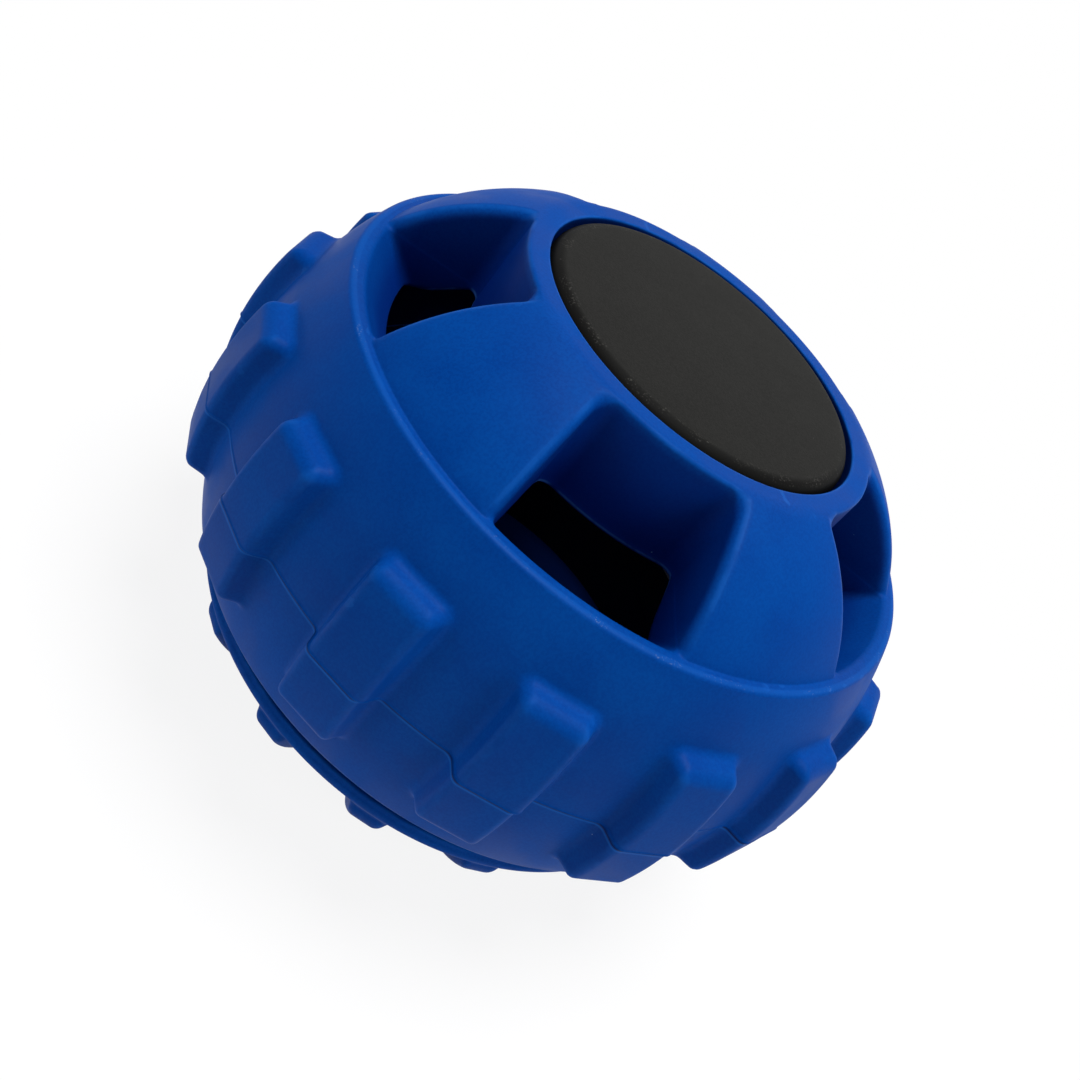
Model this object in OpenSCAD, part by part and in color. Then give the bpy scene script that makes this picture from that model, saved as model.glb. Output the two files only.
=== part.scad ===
// Treat dispensing ball in moulded rubber, with a spoked front face and a twist-off rear cap.
// The ball's axis is Z. The origin is the middle of the rear hub face, which the ball rests on.
// Profiles are drawn as [distance from the axis, height above the parting plane].

/* [Ball] */
// Radius of the tread surface between the lugs
ball_r = 56; // [50:0.5:62]
// Height of each hub face from the parting plane
hub_h = 40.6; // [38:0.2:43]
// How far the front shell reaches behind the parting plane
skirt_h = 20.5; // [17:0.5:24]
// Rubber between the tread surface and the treat chamber
tread_wall = 10.2; // [8:0.2:13]
// Rubber lip round the mouth of the front shell
mouth_lip = 5.1; // [3.5:0.1:6.5]

/* [Faces] */
// Height of the rim ledge above the parting plane
rim_h = 25.6; // [22:0.2:29]
// Width of the rim ledge between tread and dome
rim_w = 1.65; // [0.8:0.05:3]
// Edge radius between the rim ledge and the tread
rim_round = 1.2; // [0.5:0.1:2.4]
// Radius of the dome's curve from rim to hub
dome_arc = 28.1; // [22:0.1:40]
// Width of the flat land round the hub disc
land_w = 1.75; // [1:0.05:3]

/* [Windows] */
// Number of treat windows in the front face
win_n = 5; // [3:1:7]
// Width of a window at its hub-side wall, as if its corners were sharp
win_w = 22.3; // [16:0.1:25]
// Angle of each side wall to the middle line of its window
win_taper = 12; // [6:0.5:20]
// Distance of the windows' hub-side wall from the axis, at the hub face
win_in = 29.8; // [29:0.1:33]
// How far that wall leans away from the axis down to the chamber's ceiling
win_lean = 1.7; // [0.5:0.1:3]
// Corner radius of the windows beside the hub
win_corner = 2.5; // [1:0.1:4]
// Direction of the first window, from the front
win_turn = 10.5; // [0:0.25:72]
// Slope of the windows' rim-side wall
win_slope = 45; // [35:1:65]
// Dome left between the windows and the rim ledge
win_rim = 0.5; // [0.3:0.1:2]

/* [Treat chamber] */
// Ceiling of the chamber under the windows, above the parting plane
ceiling_h = 18.6; // [15:0.2:21]
// Ceiling of the chamber under the hub
hub_ceiling_h = 24.5; // [22:0.1:28]
// Corner radius of the chamber's ceiling
ceiling_round = 3.5; // [1.5:0.1:6]

/* [Tread lugs] */
// Number of lugs in each row
lug_n = 15; // [9:1:18]
// Height of a lug above the tread
lug_h = 3.4; // [2:0.1:5]
// Width of a lug's top
lug_w = 8.9; // [5:0.1:10]
// Sideways run of a lug's flank for each unit of height
lug_flank = 0.3; // [0.15:0.05:1]
// Latitude of the front foot of a lug
lug_front = 16.7; // [13:0.1:20]
// Latitude of the rear foot of a lug
lug_back = -10; // [-15:0.1:-7]
// Angle of a lug's length taken up by each sloped end
lug_end = 1.2; // [0.6:0.1:5]
// Direction of the first lug, from the front
lug_turn = -7.8; // [-12:0.1:12]

/* [Rear cap] */
// Open grip groove between front shell and rear cap
grip_gap = 5.2; // [3:0.1:7]
// Radius of the bead round the rear cap
bead_r = 1.4; // [0.8:0.1:2]
// Height of a grip lug above the rear cap
grip_h = 2.9; // [1.5:0.1:4]
// Width of a grip lug's top
grip_w = 6; // [3.5:0.1:7]
// Sideways run of a grip lug's flank for each unit of height
grip_flank = 0.6; // [0.2:0.05:1]
// Start of a grip lug near the bead, as an angle round the dome's curve
grip_from = 31; // [28:0.5:40]
// End of a grip lug near the hub, as an angle round the dome's curve
grip_to = 62; // [52:0.5:63]
// Angle of a grip lug's length taken up by each sloped end
grip_end = 5; // [2:0.5:8]
// Direction of the first grip lug, from the front
grip_turn = -14.8; // [-24:0.1:24]
// Rubber from the rear cap's inner floor to the bottom of its hub recess
rear_web = 6.2; // [4:0.1:9]

/* [Hub discs] */
// Radius of a hub disc
disc_r = 26.8; // [23:0.1:28]
// Thickness of a hub disc
disc_t = 4.6; // [3.5:0.1:6]
// Edge radius of a hub disc
disc_edge = 2; // [0.5:0.1:2.8]
// How far a hub disc lies below the land
disc_drop = 0.1; // [0.1:0.1:1.5]
// Open ring between a hub disc and its recess
disc_gap = 1; // [0.5:0.1:2]
// Radius of a hub disc's stem
stem_r = 5; // [3.5:0.1:7]
// Length of the stem's head
head_h = 2; // [1:0.1:3]
// How far the stem's head stands out from the stem
head_out = 1; // [0.4:0.1:1.6]

/* [Cap clips] */
// Outer radius of a cap clip
clip_r = 10; // [9:0.1:13]
// Thickness of a cap clip
clip_t = 1.8; // [1:0.1:2.5]
// Number of slots that let a cap clip spring over the stem's head
clip_slots = 6; // [4:1:10]
// Width of a slot in a cap clip
slot_w = 1.2; // [0.6:0.1:2]

/* [Twist lock] */
// Wall of the front lock ring
ring_t = 5; // [4:0.1:6]
// Height of the front lock ring
ring_h = 9.8; // [9:0.1:12]
// Number of lock tabs on each ring
tab_n = 3; // [2:1:4]
// Direction of the first lock tab, from the front
tab_turn = 12; // [0:1:60]
// Angle that a lock tab covers on the front ring
tab_arc = 50; // [36:1:58]
// How far a lock tab stands out from its ring
tab_reach = 2.4; // [1.5:0.1:3.5]
// Thickness of a lock tab
tab_t = 2.7; // [2:0.1:3]
// Angle of the stop rib on each front tab
stop_arc = 3; // [2:0.5:5]
// Angle left free between a rear tab and the stop rib
stop_play = 1; // [0.5:0.1:2]
// Wall of the rear lock ring's collar
collar_t = 2.8; // [2:0.1:4]
// Width of the rear lock ring's foot beyond its collar
foot_w = 3; // [2:0.1:4]
// Overlap of the rear lock ring's shoulder under the front ring
shoulder_w = 3; // [1.5:0.1:4]

/* [Clearances] */
// Running clearance between the two halves of the twist lock
run_gap = 0.35; // [0.3:0.05:0.6]
// Gap round a piece that is bonded into rubber
bond_gap = 0.05; // [0.02:0.01:0.1]

/* [Hidden] */
$fn = 96;
eps = 0.01;
far = 3 * ball_r;
// How deep joined shapes of one piece reach into each other
bite = 1;
rubber_blue = [0.03, 0.22, 0.55];
lock_blue = [0.05, 0.12, 0.3];
disc_black = [0.16, 0.16, 0.16];
clip_grey = [0.6, 0.62, 0.64];

// The parting plane lies one hub height above the rest face
part_z = hub_h;

// Hub recess
recess_r = disc_r + disc_gap;
disc_top = hub_h - disc_drop;
recess_floor = disc_top - disc_t;

// The dome's curve passes through the edge of the land and the foot of the rim ledge.
// The rim's edge is an arc round rim_c that touches both the ledge and the tread.
land_edge = [recess_r + land_w, hub_h];
rim_foot = [sqrt(pow(ball_r, 2) - pow(rim_h, 2)) - rim_w, rim_h];
rim_c = [sqrt(pow(ball_r - rim_round, 2) - pow(rim_h - rim_round, 2)), rim_h - rim_round];
chord = rim_foot - land_edge;
chord_mid = (rim_foot + land_edge) / 2;
dome_sag = sqrt(pow(dome_arc, 2) - pow(norm(chord) / 2, 2));
dome_c = chord_mid + dome_sag * [chord[1], -chord[0]] / norm(chord);

// Hub-side wall of the windows at the chamber's ceiling
win_low = win_in + win_lean;
// Where the two side walls of a window would meet, on its middle line
win_apex = win_in - win_w / 2 / tan(win_taper);

// Mouth of the front shell and the rings seated in it
mouth_r = sqrt(pow(ball_r, 2) - pow(skirt_h, 2));
seat_r = mouth_r - mouth_lip;
chamber_r = ball_r - tread_wall;
ring_out = seat_r - bond_gap;
ring_in = ring_out - ring_t;
front_tab_in = ring_in - tab_reach;
collar_out = front_tab_in - run_gap;
collar_in = collar_out - collar_t;
rear_tab_out = ring_in - run_gap;

// Heights of the twist lock, measured down from the parting plane
rear_rim_z = skirt_h + grip_gap;
collar_top = skirt_h - ring_h + run_gap;
front_tab_top = collar_top + tab_t + run_gap;
front_tab_end = front_tab_top + tab_t;
stop_at = tab_arc - stop_arc;
shoulder_top = skirt_h + run_gap;
rear_tab_arc = stop_at - stop_play;
foot_r = collar_out + foot_w;
shoulder_r = ring_in + shoulder_w;
rear_floor = recess_floor - rear_web;

// Bead of the rear cap, centred on the dome's curve
bead_z = rear_rim_z + bead_r;
bead_c = dome_c[0] + sqrt(pow(dome_arc, 2) - pow(bead_z - dome_c[1], 2));

// Point at radius r and angle a round a centre
function polar(c, r, a) = c + r * [cos(a), sin(a)];

// Rectangle from the axis outwards
module core(r, z0, z1) {
    translate([0, z0]) square([r, z1 - z0]);
}

// Keeps what lies on the positive side of the axis, between two heights
module between(z0, z1) {
    intersection() {
        children();
        core(far, z0, z1);
    }
}

// Places drawn on the front side go to the rear side by mirroring in the parting plane
module front_side() {
    translate([0, 0, part_z]) children();
}

module rear_side() {
    front_side() mirror([0, 0, 1]) children();
}

// Repeats round the axis, with angle 0 to the front (-Y)
module round_axis(n, turn) {
    for (i = [0:n - 1]) rotate([0, 0, turn - 90 + i * 360 / n]) children();
}

// Tread from the mouth up to the rounded edge of the rim ledge
module tread_profile() {
    between(-skirt_h, rim_h) {
        intersection() {
            circle(ball_r);
            polygon([[0, 0], [0, -far], [far, -far], far * rim_c / norm(rim_c)]);
        }
        translate(rim_c) circle(rim_round);
        core(rim_c[0], 0, rim_h);
    }
}

// Dome from rim to hub, cut flat at the land
module dome_profile(z0) {
    between(z0, hub_h) {
        translate(dome_c) circle(dome_arc);
        core(dome_c[0], 0, hub_h);
    }
}

// Recess for the hub disc with the stem's bore
module hub_recess() {
    translate([0, 0, recess_floor]) cylinder(r = recess_r, h = far);
    translate([0, 0, -eps]) cylinder(r = stem_r + bond_gap, h = far);
}

// One lug: a trapezoid section swept along the curve of radius r round c, with sloped ends
module lug(c, r, h, w, flank, a0, a1, end) {
    top0 = polar(c, r + h, a0 + end);
    top1 = polar(c, r + h, a1 - end);
    foot0 = polar(c, r, a0);
    foot1 = polar(c, r, a1);
    rotate([90, 0, 0]) intersection() {
        linear_extrude(height = far, center = true) polygon([
            foot0 + (foot0 - top0) * bite / h,
            top0,
            polar(c, r + 3 * h, (a0 + a1) / 2),
            top1,
            foot1 + (foot1 - top1) * bite / h
        ]);
        translate([c[0], c[1], 0]) rotate_extrude() polygon([
            [r - bite, -w / 2 - (h + bite) * flank],
            [r + h, -w / 2],
            [r + h, w / 2],
            [r - bite, w / 2 + (h + bite) * flank]
        ]);
    }
}

// Plan of one window: side walls that open outwards from two rounded corners beside the hub.
// A corner's arc touches the hub-side wall, and touches the side wall at the point named tangent.
module window_plan() {
    corner_at = win_in + win_corner;
    corner_angle = win_taper - asin((win_corner + win_apex * sin(win_taper)) / corner_at);
    corner_c = polar([0, 0], corner_at, corner_angle);
    tangent = polar(corner_c, win_corner, win_taper + 90);
    side = polar(tangent, far, win_taper);
    difference() {
        polygon([
            [0, 0], [corner_c[0], -corner_c[1]], [tangent[0], -tangent[1]],
            [side[0], -side[1]], side, tangent, corner_c
        ]);
        circle(win_in);
    }
    for (s = [-1, 1]) translate([corner_c[0], s * corner_c[1]]) circle(win_corner);
}

// One window: down from the dome, with a leaning wall beside the hub and a sloped one under the rim
module window() {
    outer = rim_foot - [win_rim, 0];
    low_z = ceiling_h - ceiling_round - bite;
    low_r = outer[0] - (rim_h - low_z) / tan(win_slope);
    intersection() {
        linear_extrude(height = far) window_plan();
        rotate_extrude() polygon([
            [win_low, low_z], [low_r, low_z], outer, [outer[0], far],
            [win_in, far], [win_in, hub_h], [win_low, ceiling_h]
        ]);
    }
}

// Treat chamber inside the front shell, open at the mouth
module chamber_profile() {
    core(chamber_r - ceiling_round, -far, ceiling_h);
    core(chamber_r, -far, ceiling_h - ceiling_round);
    translate([chamber_r - ceiling_round, ceiling_h - ceiling_round]) circle(ceiling_round);
    polygon([
        [0, ceiling_h - eps],
        [win_low + win_corner + hub_ceiling_h - ceiling_h, ceiling_h - eps],
        [win_low + win_corner / 2, hub_ceiling_h],
        [0, hub_ceiling_h]
    ]);
    core(seat_r, -far, ring_h - skirt_h);
}

// Sector of a tube between two radii, for a lock tab or a stop rib
module tube_sector(r0, r1, z0, z1, from, to) {
    rotate([0, 0, from]) rotate_extrude(angle = to - from)
        translate([r0, z0]) square([r1 - r0, z1 - z0]);
}

module front_shell() {
    color(rubber_blue) front_side() difference() {
        union() {
            rotate_extrude() {
                tread_profile();
                dome_profile(0);
            }
            round_axis(lug_n, lug_turn)
                lug([0, 0], ball_r, lug_h, lug_w, lug_flank, lug_back, lug_front, lug_end);
        }
        rotate_extrude() between(-far, far) chamber_profile();
        hub_recess();
        round_axis(win_n, win_turn) window();
    }
}

module rear_cap() {
    color(rubber_blue) rear_side() difference() {
        union() {
            rotate_extrude() {
                dome_profile(rear_rim_z);
                core(bead_c, rear_rim_z, bead_z);
                translate([bead_c, bead_z]) circle(bead_r);
            }
            round_axis(lug_n, grip_turn)
                lug(dome_c, dome_arc, grip_h, grip_w, grip_flank, grip_from, grip_to, grip_end);
        }
        cylinder(r = foot_r + bond_gap, h = rear_floor);
        hub_recess();
    }
}

// Stiff ring bonded into the mouth, with tabs that hook the rear ring
module front_lock_ring() {
    color(lock_blue) rear_side() union() {
        rotate_extrude() translate([ring_in, skirt_h - ring_h]) square([ring_t, ring_h]);
        round_axis(tab_n, tab_turn) difference() {
            tube_sector(front_tab_in, ring_in + bite, collar_top, front_tab_end, 0, tab_arc);
            tube_sector(front_tab_in - bite, ring_in + 2 * bite,
                        collar_top - bite, front_tab_top, -bite, stop_at);
        }
    }
}

// Stiff ring bonded into the rear cap: foot, shoulder, collar and tabs
module rear_lock_ring() {
    color(lock_blue) rear_side() union() {
        rotate_extrude() polygon([
            [collar_in, collar_top], [collar_out, collar_top],
            [collar_out, shoulder_top], [shoulder_r, shoulder_top],
            [shoulder_r, rear_rim_z], [foot_r, rear_rim_z],
            [foot_r, rear_floor], [collar_in, rear_floor]
        ]);
        round_axis(tab_n, tab_turn)
            tube_sector(collar_out - bite, rear_tab_out, collar_top, collar_top + tab_t, 0, rear_tab_arc);
    }
}

// Disc with a soft edge, a stem and a snap head behind the web that carries it
module hub_disc(web_floor) {
    head_z = web_floor - clip_t - head_h;
    rotate_extrude() {
        core(disc_r, recess_floor, disc_top - disc_edge);
        core(disc_r - disc_edge, recess_floor, disc_top);
        translate([disc_r - disc_edge, disc_top - disc_edge]) circle(disc_edge);
        core(stem_r, head_z, recess_floor + eps);
        polygon([
            [0, head_z], [stem_r, head_z], [stem_r + head_out, head_z + head_h / 2],
            [stem_r + head_out, head_z + head_h], [0, head_z + head_h]
        ]);
    }
}

// Slotted washer between the web and the stem's head
module disc_clip(web_floor) {
    bore_r = stem_r + bond_gap;
    slot_end = (bore_r + clip_r) / 2;
    translate([0, 0, web_floor - clip_t]) linear_extrude(height = clip_t) difference() {
        circle(clip_r);
        circle(bore_r);
        for (i = [0:clip_slots - 1]) rotate(i * 360 / clip_slots)
            translate([0, -slot_w / 2]) square([slot_end, slot_w]);
    }
}

module front_hub_disc() {
    color(disc_black) front_side() hub_disc(hub_ceiling_h);
}

module rear_hub_disc() {
    color(disc_black) rear_side() hub_disc(rear_floor);
}

module front_disc_clip() {
    color(clip_grey) front_side() disc_clip(hub_ceiling_h);
}

module rear_disc_clip() {
    color(clip_grey) rear_side() disc_clip(rear_floor);
}

front_shell();
rear_cap();
front_lock_ring();
rear_lock_ring();
front_hub_disc();
rear_hub_disc();
front_disc_clip();
rear_disc_clip();
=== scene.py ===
import math

import bpy
import numpy as np
from mathutils import Matrix, Vector


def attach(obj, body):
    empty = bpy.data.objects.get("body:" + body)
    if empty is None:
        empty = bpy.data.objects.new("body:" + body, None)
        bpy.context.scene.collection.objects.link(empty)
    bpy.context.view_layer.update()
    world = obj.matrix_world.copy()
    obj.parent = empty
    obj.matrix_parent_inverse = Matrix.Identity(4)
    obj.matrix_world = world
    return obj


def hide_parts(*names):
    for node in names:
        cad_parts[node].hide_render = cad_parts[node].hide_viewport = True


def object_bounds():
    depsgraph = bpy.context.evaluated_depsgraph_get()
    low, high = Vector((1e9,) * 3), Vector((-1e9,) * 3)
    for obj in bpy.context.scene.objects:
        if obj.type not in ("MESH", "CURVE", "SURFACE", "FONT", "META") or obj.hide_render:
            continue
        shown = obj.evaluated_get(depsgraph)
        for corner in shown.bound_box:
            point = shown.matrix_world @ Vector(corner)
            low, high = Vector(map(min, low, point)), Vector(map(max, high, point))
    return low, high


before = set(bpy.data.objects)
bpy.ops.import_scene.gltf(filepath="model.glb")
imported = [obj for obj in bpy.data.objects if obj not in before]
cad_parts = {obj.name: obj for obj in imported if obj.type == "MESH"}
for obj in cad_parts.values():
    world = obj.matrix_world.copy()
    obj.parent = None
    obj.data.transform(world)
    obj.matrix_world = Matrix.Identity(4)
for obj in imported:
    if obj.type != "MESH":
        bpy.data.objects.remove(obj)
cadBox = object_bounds()

mm = 0.001
scene = bpy.context.scene
scene.view_settings.view_transform = "Standard"

# The two halves meet at mid height; all shapes below are in mm from that plane
partingHeight = cadBox[1][2] / 2 / mm
print("frame loaded, parting plane at", round(partingHeight, 2), "mm")


# Camera, with the ball's axis leaning to the right in the picture

cameraSet = {
    "distance": 194.0,      # from the ball's middle
    "tilt": 55.18,          # between the ball's axis and the view
    "roll": 41.62,
    "slideRight": -2.34,
    "slideUp": -3.0,
    "sensor": 36.0,
    "lens": 39.17,
}


def placeCamera(setup):
    tilt = math.radians(setup["tilt"])
    roll = math.radians(setup["roll"])
    right = Vector((1, 0, 0))
    up = Vector((0, math.cos(tilt), math.sin(tilt)))
    back = Vector((0, -math.sin(tilt), math.cos(tilt)))
    camRight = right * math.cos(roll) + up * math.sin(roll)
    camUp = up * math.cos(roll) - right * math.sin(roll)
    place = back * setup["distance"] + camRight * setup["slideRight"] + camUp * setup["slideUp"]
    place.z += partingHeight
    data = bpy.data.cameras.new("camera")
    data.sensor_width = setup["sensor"]
    data.lens = setup["lens"]
    data.clip_start = 0.01
    camera = bpy.data.objects.new("camera", data)
    turn = Matrix((camRight, camUp, back)).transposed().to_4x4()
    camera.matrix_world = Matrix.Translation(place * mm) @ turn
    scene.collection.objects.link(camera)
    scene.camera = camera


placeCamera(cameraSet)
print("camera placed")


# Soft shapes: each form is a function that gives the distance to its surface, in mm

def softJoin(a, b, r):
    return np.maximum(r, np.minimum(a, b)) - np.hypot(np.maximum(r - a, 0), np.maximum(r - b, 0))


def softMeet(a, b, r):
    return np.minimum(-r, np.maximum(a, b)) + np.hypot(np.maximum(r + a, 0), np.maximum(r + b, 0))


def softCut(a, b, r):
    return softMeet(a, -b, r)


def easeMeet(a, b, width):
    # for surfaces that meet at a flat angle
    near = np.maximum(width - np.abs(a - b), 0)
    return np.maximum(a, b) + near ** 2 / (4 * width)


def foldAngle(azimuth, count, turn):
    pitch = 360 / count
    return np.radians((azimuth - turn + pitch / 2) % pitch - pitch / 2)


def beyondLine(x, y, a, b):
    # signed distance to the line a-b, positive on its right-hand side
    dx, dy = b[0] - a[0], b[1] - a[1]
    return ((x - a[0]) * dy - (y - a[1]) * dx) / math.hypot(dx, dy)


def onCircle(centre, radius, degrees):
    a = math.radians(degrees)
    return centre[0] + radius * math.cos(a), centre[1] + radius * math.sin(a)


def arcCentre(a, b, radius):
    # middle of the arc that bulges upwards between the points a and b
    dx, dz = b[0] - a[0], b[1] - a[1]
    chord = math.hypot(dx, dz)
    drop = math.sqrt(radius ** 2 - chord ** 2 / 4) / chord
    return (a[0] + b[0]) / 2 + dz * drop, (a[1] + b[1]) / 2 - dx * drop


ball = {
    "radius": 56.0,
    "hub": partingHeight,
    "recess": 27.45,
    "recessFloor": partingHeight - 4.7,
    "recessRound": 0.25,
    "floorRound": 0.6,
    "bore": 5.05,
}

frontShell = {
    "skirt": 20.5,
    "mouthRound": 1.0,
    "rim": 25.6,
    "rimRound": 0.5,
    "rimFillet": 0.1,
    "rimFoot": (48.16, 25.6),
    "landEdge": 31.0,
    "landEase": 0.5,
    "domeArc": 37.0,
    "lugs": 15,
    "lugTurn": -7.5,
    "lugHeight": 3.4,
    "lugWidth": 9.4,
    "lugFlank": 0.3,
    "lugFeet": (-12.4, 16.7),
    "lugEnd": 1.2,
    "lugRound": 1.0,
    "lugEndRound": 1.7,
    "lugFillet": 0.9,
    "windows": 5,
    "windowTurn": 10.5,
    "windowWidth": 22.3,
    "windowTaper": 12.0,
    "windowFace": 30.9,
    "windowLean": 0.6,
    "windowOuter": 47.7,
    "windowCorner": 2.5,
    "windowFoot": 1.0,
    "windowRound": 0.5,
    "windowSideRound": 1.8,
    "windowEdge": 0.4,
    "chamber": 45.8,
    "ceiling": 18.6,
    "ceilingRound": 3.5,
    "hubCeiling": 24.5,
    "hubCone": ((39.9, 18.6), (32.75, 24.5)),
    "ceilingBlend": 2.5,
    "seat": 47.01,
    "seatTop": -10.7,
    "edge": 0.35,
    "seamHeight": 0.16,
    "seamWidth": 0.2,
    "seamStep": 0.1,
    "seamShift": 0.4,
    "seamBlend": 0.14,
}

rearCap = {
    "rim": 25.2,
    "rimFoot": (48.16, 25.6),
    "landEdge": 29.55,
    "landEase": 0.3,
    "domeArc": 28.1,
    "beadRadius": 1.3,
    "bead": (47.5, 26.7),
    "beadFillet": 0.6,
    "lugs": 15,
    "lugTurn": -14.1,
    "lugHeight": 2.3,
    "lugWidth": 5.1,
    "lugFlank": 0.5,
    "lugFeet": (29.5, 62.0),
    "lugEnd": 5.0,
    "lugRound": 0.8,
    "lugEndRound": 1.0,
    "lugFillet": 1.2,
    "hollow": 42.26,
    "floor": 29.7,
    "edge": 0.35,
    "gridReach": 52.0,
}

for shape in (frontShell, rearCap):
    shape["domeCentre"] = arcCentre((shape["landEdge"], ball["hub"]), shape["rimFoot"], shape["domeArc"])


def dome(shape, rho, z):
    across, up = shape["domeCentre"]
    arc = np.hypot(np.maximum(rho - across, 0), z - up) - shape["domeArc"]
    return easeMeet(arc, z - ball["hub"], shape["landEase"])


def hubRecess(rho, z):
    pocket = softMeet(rho - ball["recess"], ball["recessFloor"] - z, ball["floorRound"])
    return np.minimum(pocket, rho - ball["bore"])


def lug(piece, rho, z, azimuth, centre, radius):
    # trapezoid bar along the curve of that radius round centre, with sloped ends
    a = foldAngle(azimuth, piece["lugs"], piece["lugTurn"])
    out = rho * np.cos(a)
    side = np.abs(rho * np.sin(a))
    height = radius + piece["lugHeight"]
    reach = np.hypot(out - centre[0], z - centre[1])
    flank = side - piece["lugWidth"] / 2 - (height - reach) * piece["lugFlank"]
    bar = softMeet(reach - height, flank / math.hypot(1, piece["lugFlank"]), piece["lugRound"])
    bar = np.maximum(bar, radius - piece["lugHeight"] - reach)
    low, high = piece["lugFeet"]
    end = piece["lugEnd"]
    lowFoot, lowTop = onCircle(centre, radius, low), onCircle(centre, height, low + end)
    highFoot, highTop = onCircle(centre, radius, high), onCircle(centre, height, high - end)
    lowEnd = beyondLine(out, z, lowFoot, lowTop)
    highEnd = beyondLine(out, z, highTop, highFoot)
    return softMeet(softMeet(bar, lowEnd, piece["lugEndRound"]), highEnd, piece["lugEndRound"])


def frontForm(x, y, z):
    p = frontShell
    rho = np.hypot(x, y)
    azimuth = np.degrees(np.arctan2(x, -y))
    # behind the parting line the mould half sat a little deeper and turned
    behind = np.clip(0.5 - z / p["seamBlend"], 0, 1)
    # windows, cut softly into the dome and sharply behind the rim
    a = foldAngle(azimuth, p["windows"], p["windowTurn"])
    taper = math.radians(p["windowTaper"])
    width = p["windowWidth"] / 2 + (rho * np.cos(a) - p["windowFace"]) * math.tan(taper)
    side = (np.abs(rho * np.sin(a)) - width) * math.cos(taper)
    sunk = np.clip((ball["hub"] - z) / (ball["hub"] - p["ceiling"]), 0, 1)
    wall = p["windowFace"] + p["windowLean"] * sunk
    # behind the rim they slope in at 45 degrees
    slope = (rho - p["windowOuter"] + p["rim"] - z) * math.sqrt(0.5)
    window = softMeet(softMeet(side, wall - rho, p["windowCorner"]), slope, p["windowFoot"])
    # the dome runs over the sides of a window in a larger curve than over its hub end
    atSide = np.clip((side - wall + rho) / p["windowCorner"] + 0.5, 0, 1)
    windowRound = p["windowRound"] + (p["windowSideRound"] - p["windowRound"]) * atSide
    sphere = np.hypot(rho, z) - ball["radius"] + p["seamStep"] * behind
    tread = softMeet(sphere, z - p["rim"], p["rimRound"])
    tread = softCut(tread, window, p["windowEdge"])
    face = softCut(dome(p, rho, z), window, windowRound)
    form = softJoin(tread, face, p["rimFillet"])
    lugs = lug(p, rho, z, azimuth + p["seamShift"] * behind, (0, 0), ball["radius"])
    form = softJoin(form, lugs + p["seamStep"] * behind, p["lugFillet"])
    form = form - p["seamHeight"] * np.exp(-(z / p["seamWidth"]) ** 2)
    form = softMeet(form, -p["skirt"] - z, p["mouthRound"])
    form = softCut(form, hubRecess(rho, z), ball["recessRound"])
    # treat chamber
    chamber = softMeet(rho - p["chamber"], z - p["ceiling"], p["ceilingRound"])
    hubPart = np.maximum(z - p["hubCeiling"], beyondLine(rho, z, *p["hubCone"]))
    hubPart = np.maximum(hubPart, p["ceiling"] - p["ceilingRound"] - z)
    chamber = softJoin(chamber, hubPart, p["ceilingBlend"])
    chamber = np.minimum(chamber, np.maximum(rho - p["seat"], z - p["seatTop"]))
    return softCut(form, chamber, p["edge"])


def rearForm(x, y, z):
    p = rearCap
    z = -z
    rho = np.hypot(x, y)
    azimuth = np.degrees(np.arctan2(x, -y))
    bead = np.hypot(rho - p["bead"][0], z - p["bead"][1]) - p["beadRadius"]
    form = softJoin(dome(p, rho, z), bead, p["beadFillet"])
    form = softJoin(form, lug(p, rho, z, azimuth, p["domeCentre"], p["domeArc"]), p["lugFillet"])
    form = softMeet(form, p["rim"] - z, p["edge"])
    form = softCut(form, hubRecess(rho, z), ball["recessRound"])
    hollow = softMeet(rho - p["hollow"], z - p["floor"], ball["floorRound"])
    return softCut(form, hollow, p["edge"])


def spread(low, high, step, zones=()):
    # grid lines from low to high, closer together inside the zones (from, to, step)
    lines = [low]
    while lines[-1] < high:
        lines.append(lines[-1] + min([fine for a, b, fine in zones if a - step < lines[-1] < b] + [step]))
    return np.array(lines)


def onAxis(rho, angle, z):
    # angle 0 is the front (-Y)
    return rho * np.sin(angle), -rho * np.cos(angle), z


def fieldGrid(form, rho, angle, z):
    x, y, _ = onAxis(rho[:, None], angle[None, :], 0)
    grid = np.empty((len(rho), len(angle), len(z)), np.float32)
    for k, level in enumerate(z):
        grid[:, :, k] = form(x, y, np.full_like(x, level))
    return grid


def sectorPoints(grid, lines):
    # one point in each cell of the sector that the surface crosses
    inside = grid < 0
    shape = [n - 1 for n in grid.shape]
    count = np.zeros(shape, np.uint8)
    corner = {}
    for i in (0, 1):
        for j in (0, 1):
            for k in (0, 1):
                corner[i, j, k] = np.s_[i:i + shape[0], j:j + shape[1], k:k + shape[2]]
                count += inside[corner[i, j, k]]
    cells = np.nonzero((count > 0) & (count < 8))
    number = np.full(shape, -1, np.int32)
    number[cells] = np.arange(len(cells[0]), dtype=np.int32)
    total = np.zeros((len(cells[0]), 3))
    hits = np.zeros(len(cells[0]))
    for axis in range(3):
        for u in (0, 1):
            for v in (0, 1):
                start = [u, v]
                start.insert(axis, 0)
                stop = list(start)
                stop[axis] = 1
                a = grid[corner[tuple(start)]][cells]
                b = grid[corner[tuple(stop)]][cells]
                crossed = (a < 0) != (b < 0)
                share = np.where(crossed, a / np.where(crossed, a - b, 1), 0)
                for d in range(3):
                    low = lines[d][cells[d] + start[d]]
                    high = lines[d][cells[d] + stop[d]]
                    total[:, d] += crossed * (low + share * (high - low))
                hits += crossed
    return total / hits[:, None], number


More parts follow.
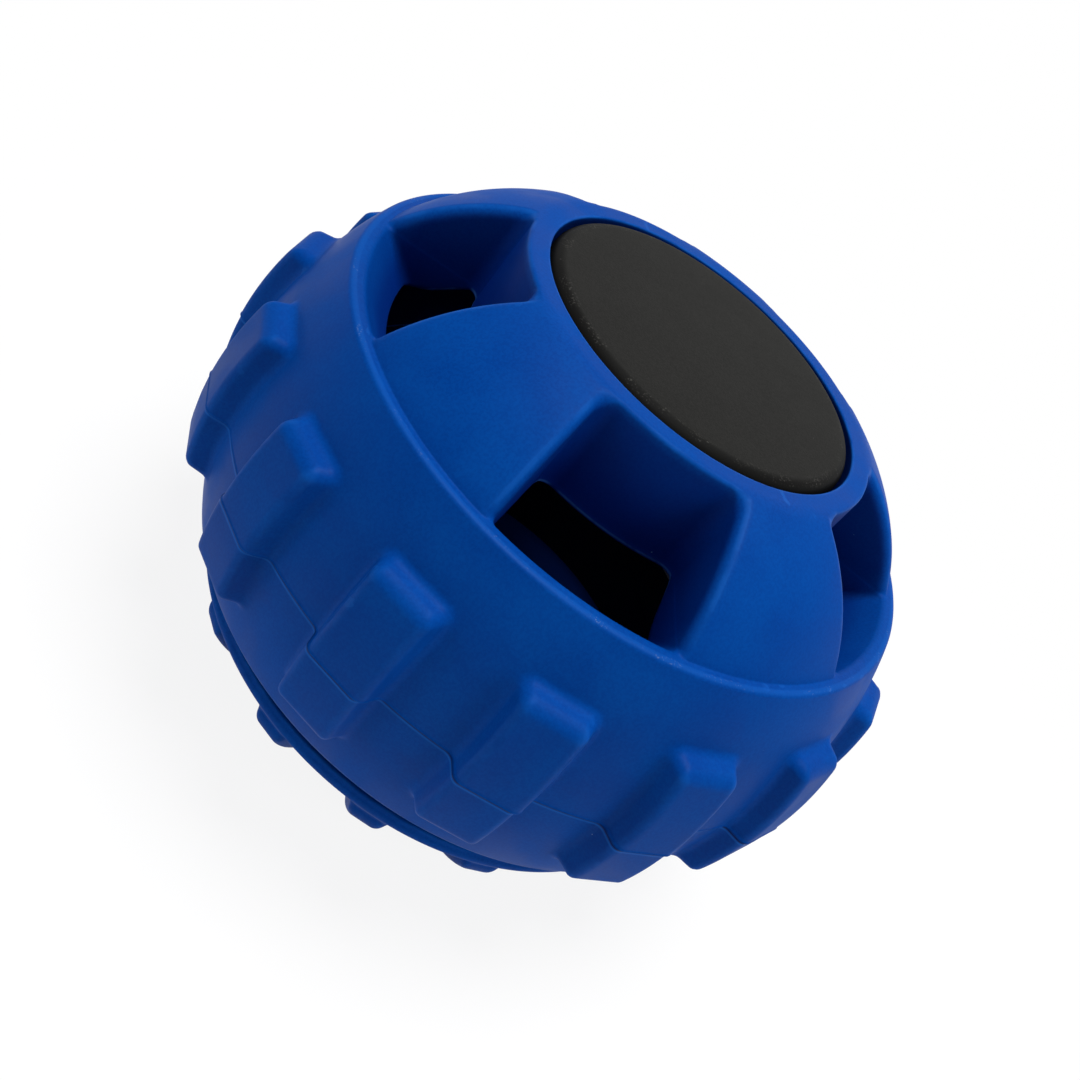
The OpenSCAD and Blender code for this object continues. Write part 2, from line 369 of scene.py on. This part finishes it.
def ringQuads(inside, number, repeat):
    # one quad for each crossed grid edge, in every sector round the axis
    count = number.max() + 1
    padded = np.concatenate([number[:, -1:], number], 1)
    quads = []
    for axis in range(3):
        first = [slice(1, -1), slice(0, -1), slice(1, -1)]
        second = list(first)
        if axis == 1:
            second[1] = slice(1, None)
        else:
            first[axis], second[axis] = slice(0, -1), slice(1, None)
        a, b = inside[tuple(first)], inside[tuple(second)]
        where = np.nonzero(a != b)
        base = [w.copy() for w in where]
        base[1] += axis == 1
        others = [d for d in range(3) if d != axis]
        ring, behind = [], []
        for u, v in ((0, 0), (1, 0), (1, 1), (0, 1)):
            at = list(base)
            at[others[0]] = base[others[0]] + u
            at[others[1]] = base[others[1]] + v
            ring.append(padded[tuple(at)])
            behind.append(at[1] == 0)
        ring, behind = np.stack(ring, 1), np.stack(behind, 1)
        flip = a[where] != (axis != 1)
        ring[flip], behind[flip] = ring[flip][:, ::-1], behind[flip][:, ::-1]
        quads += [ring + (n - behind) % repeat * count for n in range(repeat)]
    return np.concatenate(quads)


def settle(form, points, rounds=3, step=0.01, reach=0.3, flattest=0.25):
    # pulls every point to the true surface, by at most reach in each round
    for turn in range(rounds):
        value = form(*points.T)
        slope = np.stack([
            form(*(points + step * axis).T) - form(*(points - step * axis).T) for axis in np.eye(3)
        ], 1) / (2 * step)
        length = np.maximum((slope ** 2).sum(1), flattest)
        move = np.clip(value / length, -reach, reach)
        points = points - move[:, None] * slope
    return points


def meshFrom(name, points, faces):
    mesh = bpy.data.meshes.new(name)
    mesh.vertices.add(len(points))
    mesh.vertices.foreach_set("co", np.asarray(points, np.float32).ravel())
    sides = faces.shape[1]
    mesh.loops.add(faces.size)
    mesh.loops.foreach_set("vertex_index", np.ascontiguousarray(faces, np.int32).ravel())
    mesh.polygons.add(len(faces))
    mesh.polygons.foreach_set("loop_start", np.arange(0, faces.size, sides, dtype=np.int32))
    mesh.polygons.foreach_set("use_smooth", np.ones(len(faces), bool))
    mesh.update(calc_edges=True)
    mesh.validate()
    piece = bpy.data.objects.new(name, mesh)
    scene.collection.objects.link(piece)
    return piece


def mould(name, form, repeat, arcStep, rho, z):
    # the form is the same in each of the repeated sectors, so one of them is worked out
    sector = 2 * math.pi / repeat
    angle = np.linspace(0, sector, max(8, round(360 / repeat / arcStep)) + 1)
    grid = fieldGrid(form, rho, angle, z)
    grid[:, -1] = grid[:, 0]
    points, number = sectorPoints(grid, (rho, angle, z))
    quads = ringQuads(grid < 0, number, repeat)
    points = settle(form, np.stack(onAxis(*points.T), 1))
    turns = [np.array(Matrix.Rotation(n * sector, 3, "Z")) for n in range(repeat)]
    points = np.concatenate([points @ turn.T for turn in turns])
    piece = meshFrom(name, (points + (0, 0, partingHeight)) * mm, quads)
    print(name, "moulded,", len(quads), "faces")
    return piece


# grid lines lie closer at the land, the rim, the bead and the seam
cell, arcStep = ((0.45, 0.4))
innerRho = ball["bore"] - 1.05
shellRho = spread(innerRho, ball["radius"] + frontShell["lugHeight"] + 1, cell,
                  [(26.8, 31.8, 0.25), (47.2, 50.6, 0.16)])
shellZ = spread(-frontShell["skirt"] - 1, ball["hub"] + 1, cell,
                [(-0.6, 0.6, 0.08), (23.8, 26.2, 0.16), (38.6, 41.2, 0.25)])
shellPiece = mould("moulded_front_shell", frontForm, frontShell["windows"], arcStep, shellRho, shellZ)
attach(shellPiece, "front_half")
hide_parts("front_shell")

capRho = spread(innerRho, rearCap["gridReach"], cell, [(26.8, 30.5, 0.25), (46.0, 49.4, 0.2)])
capZ = spread(-ball["hub"] - 1, -rearCap["rim"] + 1, cell, [(-41.2, -38.6, 0.25), (-29.0, -25.4, 0.2)])
capPiece = mould("moulded_rear_cap", rearForm, rearCap["lugs"], arcStep, capRho, capZ)
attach(capPiece, "rear_half")
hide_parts("rear_cap")


# Hub discs, turned in one piece with their stems

hubDisc = {
    "radius": 27.0,
    "tops": {"front": partingHeight + 0.4, "rear": partingHeight - 0.02},
    "crown": 0.04,
    "edge": 2.2,
    "faceRings": 12,
    "edgeRings": 15,
    "edgeStart": 84,        # degrees of its curve
    "chamfer": 0.3,
    "floor": ball["recessFloor"],
    "stem": 5.0,
    "head": 6.0,
    "headHeight": 2.0,
    "clip": 1.8,
    "webs": {"front": frontShell["hubCeiling"], "rear": rearCap["floor"]},
    "sides": 256,
}


def lathe(name, profile, sides, sharp=50):
    # profile points run from the axis, round the outside and back to the axis
    angle = np.linspace(0, 2 * math.pi, sides, endpoint=False)
    rho, z = np.array(profile[1:-1]).T
    x, y, z = onAxis(rho[:, None], angle[None, :], z[:, None] + 0 * angle[None, :])
    points = np.stack([x, y, z], 2).reshape(-1, 3)
    ends = np.array([(0, 0, profile[0][1]), (0, 0, profile[-1][1])])
    points = np.concatenate([points, ends])
    row, side = np.meshgrid(np.arange(len(rho) - 1), np.arange(sides), indexing="ij")
    after = (side + 1) % sides
    quads = np.stack([row * sides + side, (row + 1) * sides + side,
                      (row + 1) * sides + after, row * sides + after], 2).reshape(-1, 4)
    mesh = bpy.data.meshes.new(name)
    last = (len(rho) - 1) * sides
    caps = [(len(points) - 2, n, (n + 1) % sides) for n in range(sides)]
    caps += [(len(points) - 1, last + (n + 1) % sides, last + n) for n in range(sides)]
    mesh.from_pydata(points.tolist(), [], quads.tolist() + caps)
    mesh.polygons.foreach_set("use_smooth", np.ones(len(mesh.polygons), bool))
    mesh.set_sharp_from_angle(angle=math.radians(sharp))
    piece = bpy.data.objects.new(name, mesh)
    scene.collection.objects.link(piece)
    return piece


def turnDisc(half, p):
    head = p["webs"][half] - p["clip"] - p["headHeight"]
    flat, top = p["radius"] - p["edge"], p["tops"][half]
    profile = [(0, top)]
    rings = p["faceRings"]
    profile += [(r, top - p["crown"] * (r / flat) ** 4) for r in np.linspace(flat / rings, flat, rings)]
    low = top - p["crown"] - p["edge"]
    profile += [onCircle((flat, low), p["edge"], a) for a in np.linspace(p["edgeStart"], 0, p["edgeRings"])]
    cut = p["chamfer"]
    profile += [(p["radius"], p["floor"] + cut), (p["radius"] - cut, p["floor"])]
    profile += [(p["stem"] + cut, p["floor"]), (p["stem"], p["floor"] - cut)]
    profile += [(p["stem"], head + p["headHeight"]), (p["head"], head + p["headHeight"])]
    profile += [(p["head"], head + p["headHeight"] / 2), (p["stem"], head), (0, head)]
    piece = lathe("turned_" + half + "_disc", profile, p["sides"])
    flip = 1 if half == "front" else -1
    points = np.array([v.co for v in piece.data.vertices]) * (1, flip, flip) + (0, 0, partingHeight)
    piece.data.vertices.foreach_set("co", (points * mm).astype(np.float32).ravel())
    piece.data.update()
    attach(piece, half + "_half")
    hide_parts(half + "_hub_disc")
    return piece


discs = [turnDisc(half, hubDisc) for half in ("front", "rear")]
print("hub discs turned")


# Materials: shared surface effects are node groups, placed in each material with its own values

class Wires:
    # short hand for adding and joining nodes in one tree
    def __init__(self, tree):
        self.nodes, self.links = tree.nodes, tree.links

    def add(self, kind, values=None, **settings):
        node = self.nodes.new("ShaderNode" + kind)
        for key, value in settings.items():
            setattr(node, key, value)
        for key, value in (values or {}).items():
            if isinstance(value, bpy.types.NodeSocket):
                self.links.new(value, node.inputs[key])
            else:
                node.inputs[key].default_value = value
        return node

    def math(self, operation, a, b=0.0, clamp=False):
        return self.add("Math", {0: a, 1: b}, operation=operation, use_clamp=clamp).outputs[0]

    def times(self, a, b):
        return self.math("MULTIPLY", a, b)

    def ramp(self, value, low, high, toLow=0.0, toHigh=1.0):
        values = {"Value": value, "From Min": low, "From Max": high, "To Min": toLow, "To Max": toHigh}
        return self.add("MapRange", values, interpolation_type="SMOOTHSTEP").outputs[0]

    def mix(self, share, a, b):
        # 6 and 7 are the two colours, 2 is the colour that comes out
        return self.add("Mix", {0: share, 6: a, 7: b}, data_type="RGBA").outputs[2]


def newGroup(name, inputs, outputs):
    group = bpy.data.node_groups.new(name, "ShaderNodeTree")
    for label, value in inputs.items():
        socket = group.interface.new_socket(label, in_out="INPUT", socket_type="NodeSocketFloat")
        socket.default_value = value
    for label in outputs:
        group.interface.new_socket(label, in_out="OUTPUT", socket_type="NodeSocketFloat")
    wires = Wires(group)
    return group, wires, group.nodes.new("NodeGroupInput"), group.nodes.new("NodeGroupOutput")


def makeGrain():
    # fine skin of a moulded surface: height for a bump, and slow clouds for colour and gloss
    inputs = {"Grain mm": 0.35, "Cloud mm": 14.0}
    group, w, given, out = newGroup("mouldedGrain", inputs, ["Height", "Clouds"])
    place = w.add("TexCoord").outputs["Object"]
    fine = w.math("DIVIDE", 1 / mm, given.outputs["Grain mm"])
    slow = w.math("DIVIDE", 1 / mm, given.outputs["Cloud mm"])
    grain = w.add("TexNoise", {"Vector": place, "Scale": fine, "Detail": 2.0, "Roughness": 0.6})
    clouds = w.add("TexNoise", {"Vector": place, "Scale": slow, "Detail": 3.0, "Distortion": 0.4})
    w.links.new(grain.outputs["Fac"], out.inputs["Height"])
    w.links.new(w.ramp(clouds.outputs["Fac"], 0.3, 0.7), out.inputs["Clouds"])
    return group


def makeSpecks():
    # lint: round dust grains and short fibres, far apart
    inputs = {"Spacing mm": 6.0, "Grain mm": 0.16, "Fibre mm": 0.1, "Share": 0.5}
    group, w, given, out = newGroup("lintSpecks", inputs, ["Mask"])
    place = w.add("TexCoord").outputs["Object"]
    scale = w.math("DIVIDE", 1 / mm, given.outputs["Spacing mm"])
    masks = []
    kinds = (("Grain mm", (1, 1, 1), 0.0), ("Fibre mm", (1, 1, 0.3), 0.7), ("Fibre mm", (0.3, 1, 1), 2.1))
    for label, stretch, turn in kinds:
        moved = w.add("Mapping", {"Vector": place, "Scale": stretch, "Rotation": (turn, turn / 2, turn)})
        cells = w.add("TexVoronoi", {"Vector": moved.outputs[0], "Scale": scale})
        size = w.math("DIVIDE", given.outputs[label], given.outputs["Spacing mm"])
        pick = w.add("SeparateColor", {"Color": cells.outputs["Color"]}).outputs[0]
        shown = w.math("LESS_THAN", pick, given.outputs["Share"])
        dot = w.math("LESS_THAN", cells.outputs["Distance"], w.times(size, pick))
        masks.append(w.times(dot, shown))
    both = w.math("MAXIMUM", masks[0], w.math("MAXIMUM", masks[1], masks[2]))
    w.links.new(both, out.inputs["Mask"])
    return group


def makeEdgeRub():
    # raised edges painted paler: partly wear where handling has polished or greyed them, partly a painted
    # highlight along each edge
    group, w, given, out = newGroup("edgeRubAndHighlight", {"Start": 0.51, "Full": 0.56, "Patch mm": 3.0}, ["Mask"])
    place = w.add("TexCoord").outputs["Object"]
    raised = w.add("NewGeometry").outputs["Pointiness"]
    edge = w.ramp(raised, given.outputs["Start"], given.outputs["Full"])
    scale = w.math("DIVIDE", 1 / mm, given.outputs["Patch mm"])
    patch = w.add("TexNoise", {"Vector": place, "Scale": scale, "Detail": 4.0}).outputs["Fac"]
    w.links.new(w.times(edge, w.ramp(patch, 0.3, 0.65)), out.inputs["Mask"])
    return group


def hypotenuse(w, a, b):
    return w.math("SQRT", w.math("ADD", w.math("POWER", a, 2.0), w.math("POWER", b, 2.0)))


def overParting(w):
    # height over the parting plane in mm
    spot = w.add("SeparateXYZ", {0: w.add("TexCoord").outputs["Object"]}).outputs
    return w.math("SUBTRACT", w.math("DIVIDE", spot["Z"], mm), partingHeight)


def fromAxis(w):
    # distance from the axis in mm
    spot = w.add("SeparateXYZ", {0: w.add("TexCoord").outputs["Object"]}).outputs
    return w.math("DIVIDE", hypotenuse(w, spot["X"], spot["Y"]), mm)


windowShade = {
    "land": (0.5, 0.1),             # below the land, where the shade starts
    "slope": (43.0, 46.5, 0.4),     # the slope behind the rim gets less painted shade
    "edgeIn": (0.03, 0.12),         # depth of the painted highlight round each window's edge
    "edgeOut": (0.25, 0.6),
    "edgeLow": (0.6, 3.0),          # above the rim, where that highlight starts
}


def makeRecessShade(shade):
    # painted shade: pockets darken with their depth under the dome, and the chamber is painted dark
    # throughout; a painted highlight lines the window edges
    inputs = {"Start mm": 0.5, "Full mm": 8.0, "Top mm": 18.0, "Bottom mm": -30.2, "Radius mm": 51.0}
    group, w, given, out = newGroup("recessShade", inputs, ["Pocket", "Edge", "Inside"])
    rho, height = fromAxis(w), overParting(w)
    across = w.math("SUBTRACT", rho, frontShell["domeCentre"][0])
    above = w.math("MAXIMUM", w.math("SUBTRACT", height, frontShell["domeCentre"][1]), 0.0)
    depth = w.math("SUBTRACT", frontShell["domeArc"], hypotenuse(w, across, above))
    # only the front half, and not its flat land, which also lies under the dome's arc
    low, high = (ball["hub"] - drop for drop in shade["land"])
    front = w.times(w.math("GREATER_THAN", height, 0.0), w.ramp(height, low, high, 1.0, 0.0))
    pocket = w.ramp(depth, given.outputs["Start mm"], given.outputs["Full mm"])
    near, far, share = shade["slope"]
    pocket = w.times(pocket, w.ramp(rho, near, far, 1.0, share))
    w.links.new(w.times(pocket, front), out.inputs["Pocket"])
    # painted highlight: a pale line just under the dome round each window
    edge = w.times(w.ramp(depth, *shade["edgeIn"]), w.ramp(depth, *shade["edgeOut"], 1.0, 0.0))
    low, high = (frontShell["rim"] + rise for rise in shade["edgeLow"])
    edge = w.times(edge, w.ramp(height, low, high))
    w.links.new(w.times(edge, front), out.inputs["Edge"])
    # painted shade: the whole chamber under the ceiling is marked for a near-black blue
    middle = hypotenuse(w, rho, height)
    top = given.outputs["Top mm"]
    inside = w.ramp(height, top, w.math("ADD", top, 1.0), 1.0, 0.0)
    inside = w.times(inside, w.math("GREATER_THAN", height, given.outputs["Bottom mm"]))
    inside = w.times(inside, w.math("LESS_THAN", middle, given.outputs["Radius mm"]))
    w.links.new(inside, out.inputs["Inside"])
    return group


def makeRingBand():
    # a band between two distances from the axis
    group, w, given, out = newGroup("ringBand", {"From mm": 0.0, "To mm": 1.0, "Soft mm": 0.3}, ["Mask"])
    rho = fromAxis(w)
    soft = given.outputs["Soft mm"]
    inner = w.ramp(rho, w.math("SUBTRACT", given.outputs["From mm"], soft), given.outputs["From mm"])
    outer = w.ramp(rho, given.outputs["To mm"], w.math("ADD", given.outputs["To mm"], soft), 1.0, 0.0)
    w.links.new(w.times(inner, outer), out.inputs["Mask"])
    return group


def makeFlashLine():
    # thin line along the lower edge of the windows, where the mould left a fin, following the chamber's
    # ceiling; painted paler as a highlight
    group, w, given, out = newGroup("flashLine", {"Above mm": 0.4, "Width mm": 0.35}, ["Mask"])
    rho, height = fromAxis(w), overParting(w)
    (wide, low), (narrow, high) = frontShell["hubCone"]
    share = w.math("DIVIDE", w.math("SUBTRACT", rho, narrow), wide - narrow, clamp=True)
    level = w.math("SUBTRACT", high, w.times(share, high - low))
    level = w.math("ADD", level, given.outputs["Above mm"])
    off = w.math("ABSOLUTE", w.math("SUBTRACT", height, level))
    w.links.new(w.ramp(off, 0.0, given.outputs["Width mm"], 1.0, 0.0), out.inputs["Mask"])
    return group


grainGroup, speckGroup, rubHighlightGroup = makeGrain(), makeSpecks(), makeEdgeRub()
shadeGroup, bandGroup, flashGroup = makeRecessShade(windowShade), makeRingBand(), makeFlashLine()


def newMaterial(name):
    material = bpy.data.materials.new(name)
    material.use_nodes = True
    return material, Wires(material.node_tree), material.node_tree.nodes["Principled BSDF"]


def place(wires, group, **values):
    node = wires.nodes.new("ShaderNodeGroup")
    node.node_tree = group
    for label, value in values.items():
        node.inputs[label.replace("_", " ")].default_value = value
    return node.outputs


def finishSkin(w, skin, colour, grain, setup):
    # all moulded skins take their gloss from the clouds and their bump from the grain
    w.links.new(colour, skin.inputs["Base Color"])
    w.links.new(w.ramp(grain["Clouds"], 0.0, 1.0, *setup["gloss"]), skin.inputs["Roughness"])
    skin.inputs["Specular IOR Level"].default_value = setup["specular"]
    values = {"Height": grain["Height"], "Strength": setup["bump"], "Distance": setup["grainDepth"] * mm}
    w.links.new(w.add("Bump", values).outputs[0], skin.inputs["Normal"])


rubberSet = {
    "deep": (0.0, 0.0495, 0.283, 1),
    "pale": (0.0002, 0.0600, 0.318, 1),
    # worn is the pale blue of rubbed wear; it also paints highlights on raised edges, the rim, the window
    # edges and below the seam
    "worn": (0.006, 0.095, 0.42, 1),
    "lint": (0.20, 0.30, 0.48, 1),
    "seam": (0.0, 0.007, 0.055, 1),
    # pocket is the dark tone for the pores and for the painted shade in the windows
    "pocket": (0.0, 0.008, 0.125, 1),
    # inside is the near-black blue painted as shade over the chamber
    "inside": (0.0, 0.004, 0.045, 1),
    "flashHighlight": (0.03, 0.11, 0.36, 1),
    "poreShare": 0.2,
    "rubHighlightShare": 0.55,
    "rimHighlightShare": 0.35,
    "scrapeShare": 0.35,
    "lipShare": 0.62,
    "depthShare": 0.2,
    "edgeShare": (0.1, 0.5),
    "chamberShadeShare": 0.94,
    "lintShare": 0.7,
    "flashHighlightShare": 0.9,
    # mm behind the parting plane, half width, share and colour of each line
    # the first, pale line is a painted highlight below the seam; the second is the dark seam itself
    "seamLines": ((0.55, 0.34, 1.0, "worn"), (0.15, 0.36, 1.0, "seam")),
    "gloss": (0.46, 0.58),
    "specular": 0.04,
    "bump": 0.25,
    "grainDepth": 0.02,
}


def blueRubber(setup):
    material, w, skin = newMaterial("blue_rubber")
    grain = place(w, grainGroup, Grain_mm=0.4, Cloud_mm=11.0)
    scuff = place(w, grainGroup, Grain_mm=0.35, Cloud_mm=5.0)
    colour = w.mix(grain["Clouds"], setup["deep"], setup["pale"])
    pores = w.ramp(grain["Height"], 0.35, 0.65, setup["poreShare"], 0.0)
    colour = w.mix(pores, colour, setup["pocket"])
    # painted highlight on raised edges, mixed with handling wear, in the pale worn blue
    rubAndHighlight = place(w, rubHighlightGroup, Start=0.505, Full=0.54, Patch_mm=4.0)["Mask"]
    colour = w.mix(w.times(rubAndHighlight, setup["rubHighlightShare"]), colour, setup["worn"])
    # painted highlight along the rim's ledge, with a few pale scrapes
    rim = place(w, bandGroup, From_mm=49.1, To_mm=49.6, Soft_mm=0.3)["Mask"]
    scrape = w.times(w.ramp(scuff["Height"], 0.55, 0.7), w.ramp(scuff["Clouds"], 0.6, 1.0))
    colour = w.mix(w.times(rim, setup["rimHighlightShare"]), colour, setup["worn"])
    colour = w.mix(w.times(w.times(rim, scrape), setup["scrapeShare"]), colour, setup["lint"])
    # painted shade in the windows, a painted highlight on their edges, and painted shade filling the chamber
    lip = place(w, shadeGroup, Start_mm=0.2, Full_mm=1.8)["Pocket"]
    shade = place(w, shadeGroup, Start_mm=1.5, Full_mm=12.0)
    # painted shade: the pockets darken just under their edge and more with depth
    pocketShade = w.math("ADD", w.times(lip, setup["lipShare"]), w.times(shade["Pocket"], setup["depthShare"]))
    colour = w.mix(pocketShade, colour, setup["pocket"])
    # painted highlight round the windows, in the pale worn blue
    edge = w.times(shade["Edge"], w.ramp(scuff["Clouds"], 0.0, 0.8, *setup["edgeShare"]))
    colour = w.mix(edge, colour, setup["worn"])
    # painted shade darkens the chamber
    colour = w.mix(w.times(shade["Inside"], setup["chamberShadeShare"]), colour, setup["inside"])
    lint = place(w, speckGroup, Spacing_mm=5.0, Grain_mm=0.26, Fibre_mm=0.12, Share=0.5)["Mask"]
    colour = w.mix(w.times(lint, setup["lintShare"]), colour, setup["lint"])
    # painted highlight: a pale line where that edge catches light
    flashHighlight = w.times(place(w, flashGroup)["Mask"], w.times(lip, setup["flashHighlightShare"]))
    colour = w.mix(w.times(flashHighlight, w.ramp(scuff["Clouds"], 0.1, 0.7)), colour, setup["flashHighlight"])
    # dark hairline where the mould halves met, with a painted highlight line behind it
    height = overParting(w)
    for drop, width, share, tone in setup["seamLines"]:
        off = w.math("ABSOLUTE", w.math("ADD", height, drop))
        colour = w.mix(w.ramp(off, 0.0, width, share, 0.0), colour, setup[tone])
    finishSkin(w, skin, colour, grain, setup)
    return material


discSet = {
    "dark": (0.0076, 0.0076, 0.0071, 1),
    "light": (0.0124, 0.0124, 0.0115, 1),
    # edge is the painted shade on the disc's rounded rim
    "edge": (0.0032, 0.0032, 0.0030, 1),
    "worn": (0.050, 0.049, 0.045, 1),
    "lint": (0.22, 0.22, 0.20, 1),
    "lintShare": 0.6,
    "gloss": (0.56, 0.58),
    "specular": 0.04,
    "bump": 0.4,
    "grainDepth": 0.05,
}


def blackDisc(setup):
    material, w, skin = newMaterial("black_disc")
    grain = place(w, grainGroup, Grain_mm=0.28, Cloud_mm=8.0)
    colour = w.mix(w.ramp(grain["Height"], 0.3, 0.7), setup["dark"], setup["light"])
    # painted shade: the disc darkens towards its rounded edge
    edge = place(w, bandGroup, From_mm=25.9, To_mm=30.0, Soft_mm=1.1)["Mask"]
    colour = w.mix(edge, colour, setup["edge"])
    # dust where the face turns down to the edge
    ring = place(w, bandGroup, From_mm=24.9, To_mm=25.9, Soft_mm=0.5)["Mask"]
    dust = place(w, grainGroup, Grain_mm=0.3, Cloud_mm=3.5)
    dust = w.times(w.ramp(dust["Height"], 0.56, 0.7), w.ramp(dust["Clouds"], 0.35, 0.9))
    colour = w.mix(w.times(ring, dust), colour, setup["worn"])
    lint = place(w, speckGroup, Spacing_mm=4.0, Grain_mm=0.2, Fibre_mm=0.1, Share=0.45)["Mask"]
    colour = w.mix(w.times(lint, setup["lintShare"]), colour, setup["lint"])
    finishSkin(w, skin, colour, grain, setup)
    return material


plastic = {"lint": (0.3, 0.32, 0.36, 1), "lintShare": 0.5, "specular": 0.3, "bump": 0.3, "grainDepth": 0.02}
lockSet = dict(plastic, dark=(0.0008, 0.002, 0.008, 1), light=(0.0012, 0.003, 0.012, 1), gloss=(0.44, 0.56))
clipSet = dict(plastic, dark=(0.28, 0.29, 0.31, 1), light=(0.34, 0.35, 0.37, 1), gloss=(0.34, 0.46))


def mouldedPlastic(name, setup):
    material, w, skin = newMaterial(name)
    grain = place(w, grainGroup, Grain_mm=0.3, Cloud_mm=9.0)
    colour = w.mix(grain["Clouds"], setup["dark"], setup["light"])
    lint = place(w, speckGroup, Spacing_mm=5.0, Grain_mm=0.2, Fibre_mm=0.1, Share=0.3)["Mask"]
    colour = w.mix(w.times(lint, setup["lintShare"]), colour, setup["lint"])
    finishSkin(w, skin, colour, grain, setup)
    return material


def dress(piece, material):
    piece.data.materials.clear()
    piece.data.materials.append(material)


rubber = blueRubber(rubberSet)
black = blackDisc(discSet)
lockPlastic = mouldedPlastic("lock_plastic", lockSet)
clipPlastic = mouldedPlastic("clip_plastic", clipSet)
dress(shellPiece, rubber)
dress(capPiece, rubber)
for disc in discs:
    dress(disc, black)
for half in ("front", "rear"):
    dress(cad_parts[half + "_lock_ring"], lockPlastic)
    dress(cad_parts[half + "_disc_clip"], clipPlastic)
print("materials set")


# Stage and light: a soft box straight above, weak sides, pale floor

stage = {
    "floorSize": 8.0,
    "floorColour": 0.85,
    "shadowShare": 0.12,
    "shadowReach": (0.09, 0.26),
    "worldLight": 0.085,
}

lamps = {
    "overhead": {"from": (0.03, 0.04, 1.0), "distance": 0.8, "size": 0.45, "power": 6.85, "shine": True},
    "leftSide": {"from": (-0.88, -0.45, 0.25), "distance": 0.9, "size": 0.5, "power": 1.65, "shine": False},
    "rightSide": {"from": (0.9, -0.25, 0.4), "distance": 0.9, "size": 0.5, "power": 2.2, "shine": False},
}


def seenRays(w):
    # the camera, reflections and clear material see the background as white
    path = w.add("LightPath").outputs
    seen = w.math("MAXIMUM", path["Is Camera Ray"], path["Is Glossy Ray"])
    return w.math("MAXIMUM", seen, path["Is Transmission Ray"])


def layFloor(setup):
    half = setup["floorSize"] / 2
    corners = [(-half, -half, 0), (half, -half, 0), (half, half, 0), (-half, half, 0)]
    mesh = bpy.data.meshes.new("floor")
    mesh.from_pydata(corners, [], [(0, 1, 2, 3)])
    floor = bpy.data.objects.new("floor", mesh)
    scene.collection.objects.link(floor)
    material = bpy.data.materials.new("pale_floor")
    material.use_nodes = True
    material.node_tree.nodes.clear()
    w = Wires(material.node_tree)
    tone = setup["floorColour"]
    matte = w.add("BsdfDiffuse", {"Color": (tone, tone, tone, 1)}).outputs[0]
    paper = w.add("BsdfDiffuse", {"Color": (1, 1, 1, 1)}).outputs[0]
    glow = w.add("Emission", {"Color": (1, 1, 1, 1), "Strength": 1.0}).outputs[0]
    # the shadow fades out before the far floor, which stays white
    near, far = setup["shadowReach"]
    away = w.add("VectorMath", {0: w.add("TexCoord").outputs["Object"]}, operation="LENGTH").outputs["Value"]
    share = w.ramp(away, near, far, setup["shadowShare"], 0.0)
    shaded = w.add("MixShader", {0: share, 1: glow, 2: paper}).outputs[0]
    surface = w.add("MixShader", {0: seenRays(w), 1: matte, 2: shaded}).outputs[0]
    w.add("OutputMaterial", {"Surface": surface})
    mesh.materials.append(material)


def setWorld(setup):
    world = bpy.data.worlds.new("studio")
    scene.world = world
    world.use_nodes = True
    world.node_tree.nodes.clear()
    w = Wires(world.node_tree)
    dim = w.add("Background", {"Color": (1, 1, 1, 1), "Strength": setup["worldLight"]}).outputs[0]
    white = w.add("Background", {"Color": (1, 1, 1, 1), "Strength": 1.0}).outputs[0]
    sky = w.add("MixShader", {0: seenRays(w), 1: dim, 2: white}).outputs[0]
    w.add("OutputWorld", {"Surface": sky})


def hangLamps(setup):
    middle = Vector((0, 0, partingHeight * mm))
    for name, lamp in setup.items():
        data = bpy.data.lights.new(name, "AREA")
        data.shape = "DISK"
        data.size = lamp["size"]
        data.energy = lamp["power"]
        way = Vector(lamp["from"]).normalized()
        turn = way.to_track_quat("Z", "Y").to_matrix().to_4x4()
        thing = bpy.data.objects.new(name, data)
        thing.matrix_world = Matrix.Translation(middle + way * lamp["distance"]) @ turn
        thing.visible_glossy = lamp["shine"]
        scene.collection.objects.link(thing)


layFloor(stage)
setWorld(stage)
hangLamps(lamps)
print("stage and lamps set")
